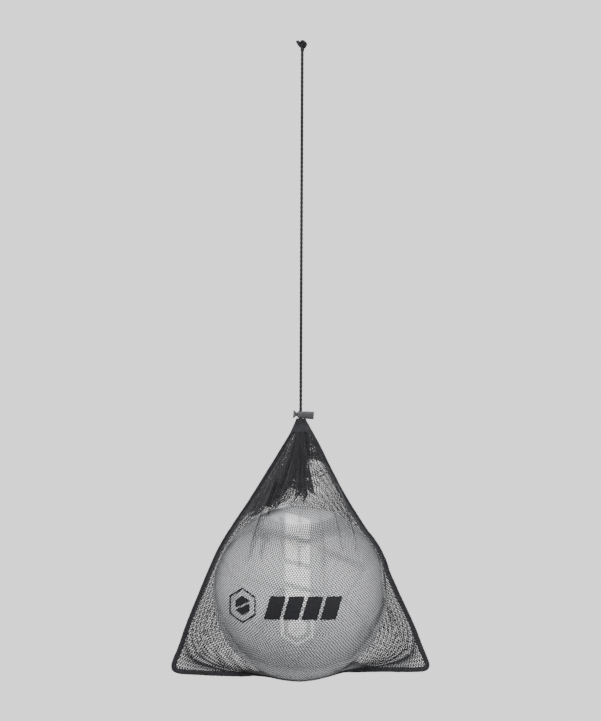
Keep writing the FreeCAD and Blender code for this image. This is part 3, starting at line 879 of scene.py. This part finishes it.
make_ball()


# ============================== print on the net ==============================

def make_print():
    """Dark transfer film on the front net: a row of plain slanted blocks and a six-sided outline."""
    step = 0.5
    shapes = []
    for x0, x1 in ((-44.0, -25.0), (-21.0, -2.0), (2.0, 21.0), (25.0, 44.0)):
        shapes.append(lambda x, z, x0=x0, x1=x1: (x - 0.28 * (z + 698) > x0 + 4)
                      & (x - 0.28 * (z + 698) < x1 + 4) & (np.abs(z + 698) < 14.5))

    def hexagon(x, z, r):
        return np.max([np.abs((x + 70.5) * math.cos(a) + (z + 696.5) * 0.86 * math.sin(a))
                       for a in (0, math.pi / 3, -math.pi / 3)], axis=0) < r
    shapes.append(lambda x, z: hexagon(x, z, 16.5) & ~hexagon(x, z, 14.9))
    shapes.append(lambda x, z: hexagon(x, z, 9.0) & (np.abs((z + 696.5) - 0.5 * (x + 70.5)) > 1.4))
    xs, zs = np.arange(-92, 56, step), np.arange(-722, -670, step)
    gx, gz = np.meshgrid(xs, zs)
    mask = np.zeros(gx.shape, bool)
    for shape in shapes:
        mask |= shape(gx, gz)
    columns = mask.shape[1]
    radius = BALL_R / MM + NET_GAP / MM + YARN_T / MM / 2 + 0.30
    px, pz = np.meshgrid(np.append(xs, xs[-1] + step) - step / 2, np.append(zs, zs[-1] + step) - step / 2)
    layers = []
    for extra in (0.12, 0.0):
        py = -np.sqrt(np.maximum((radius + extra) ** 2 - px ** 2 - (pz - BALL_C[2] / MM) ** 2, 0))
        layers.append(np.stack([px, py, pz], axis=-1).reshape(-1, 3) * MM)
    total = layers[0].shape[0]
    i, j = np.nonzero(mask)
    corner = i * (columns + 1) + j
    top = np.stack([corner, corner + 1, corner + columns + 2, corner + columns + 1], axis=1)
    faces = [top, top[:, ::-1] + total]
    padded = np.pad(mask, 1)
    for di, dj, a, b in ((-1, 0, 0, 1), (0, 1, 1, 2), (1, 0, 2, 3), (0, -1, 3, 0)):
        edge = ~padded[i + 1 + di, j + 1 + dj]
        wall = np.stack([top[edge, a], top[edge, b], top[edge, b] + total, top[edge, a] + total], axis=1)
        faces.append(wall[:, ::-1])
    faces = np.concatenate(faces)
    used, again = np.unique(faces, return_inverse=True)
    piece = mesh_object("net_print", np.concatenate(layers)[used], again.reshape(faces.shape))
    dress(piece, PRINT)
    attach(piece, "bag")


make_print()


# ============================== cord lock and other CAD pieces ==============================

for node, material in (("cord_lock_barrel", LOCK_GREY), ("cord_lock_plunger", LOCK_GREY),
                       ("cord_lock_spring", SPRING), ("ball_bladder", RUBBER), ("ball_valve", RUBBER)):
    dress(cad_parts[node], material)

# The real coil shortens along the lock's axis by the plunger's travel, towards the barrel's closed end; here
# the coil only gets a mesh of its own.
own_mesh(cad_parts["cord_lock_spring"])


# ============================== stage and lights ==============================

def make_stage():
    half, level = 3.0, -1.2
    corners = [(-half, -half, level), (half, -half, level), (half, half, level), (-half, half, level)]
    floor = mesh_object("studio_floor", np.array(corners), [[0, 1, 2, 3]], False)
    dress(floor, stage_material("pale_floor", (0.5, 0.5, 0.5)))


def area_light(name, place, target, size, power):
    data = bpy.data.lights.new(name, "AREA")
    data.shape = "DISK"
    data.size = size
    data.energy = power
    lamp = link(bpy.data.objects.new(name, data))
    lamp.location = place
    lamp.rotation_euler = (Vector(target) - Vector(place)).to_track_quat("-Z", "Y").to_euler()


BAG_MIDDLE = (0, 0, -0.6)
SKY_STOPS = ((0.0, 0.12), (0.34, 0.20), (0.42, 1.0), (0.60, 1.0), (0.72, 0.30), (1.0, 0.30))
SKY_STRENGTH = 1.5


def make_light():
    """A soft surround, brightest level with the bag, and four soft lamps."""
    world = bpy.data.worlds.new("soft_white")
    world.use_nodes = True
    nodes, links = world.node_tree.nodes, world.node_tree.links
    where = nodes.new("ShaderNodeTexCoord")
    split = nodes.new("ShaderNodeSeparateXYZ")
    ramp = nodes.new("ShaderNodeValToRGB")
    lift = nodes.new("ShaderNodeMapRange")
    lift.inputs["From Min"].default_value = -1.0
    ramp.color_ramp.elements[0].position = SKY_STOPS[0][0]
    ramp.color_ramp.elements[1].position = SKY_STOPS[-1][0]
    for place, _ in SKY_STOPS[1:-1]:
        ramp.color_ramp.elements.new(place)
    for element, (_, level) in zip(ramp.color_ramp.elements, SKY_STOPS):
        element.color = (level, level, level, 1.0)
    links.new(where.outputs["Generated"], split.inputs["Vector"])
    links.new(split.outputs["Z"], lift.inputs["Value"])
    links.new(lift.outputs["Result"], ramp.inputs["Fac"])
    links.new(ramp.outputs["Color"], nodes["Background"].inputs["Color"])
    nodes["Background"].inputs["Strength"].default_value = SKY_STRENGTH
    bpy.context.scene.world = world
    area_light("key_light", (-0.6, -1.8, 0.9), BAG_MIDDLE, 1.6, 150)
    area_light("left_fill", (-2.0, -0.9, -0.3), BAG_MIDDLE, 1.6, 8)
    area_light("right_fill", (2.0, -1.2, -0.2), BAG_MIDDLE, 1.6, 72)
    area_light("rim_light", (0.8, 1.8, 1.2), BAG_MIDDLE, 1.4, 75)


make_stage()
make_light()

bpy.context.view_layer.update()
